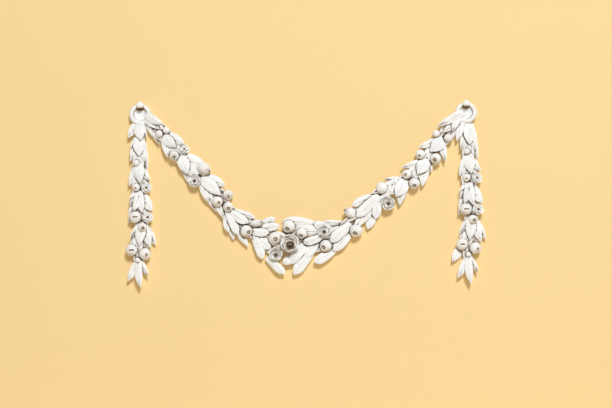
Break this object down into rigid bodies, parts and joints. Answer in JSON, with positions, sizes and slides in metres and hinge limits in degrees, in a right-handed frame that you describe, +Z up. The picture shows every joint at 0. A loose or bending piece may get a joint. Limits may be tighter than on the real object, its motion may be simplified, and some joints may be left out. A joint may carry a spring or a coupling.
{
  "type": "plaster garland",
  "caption": "Cast plaster wall garland: a hanging swag of leaves, fruit and roses between two rings, with leafy drops below them.",
  "frame": {"origin": "on the flat back of the swag at mid-span, level with the lowest part of its stem", "axes": "+X along the span to the right as seen from the front, +Y into the wall, +Z up"},
  "size_m": [1.7913, 0.086, 0.9277],
  "materials": {
    "plaster": "matte"
  },
  "bodies": {
    "root": {"swag": "plaster", "ring_left": "plaster", "ring_right": "plaster", "drop_left": "plaster", "drop_right": "plaster"}
  },
  "joints": []
}
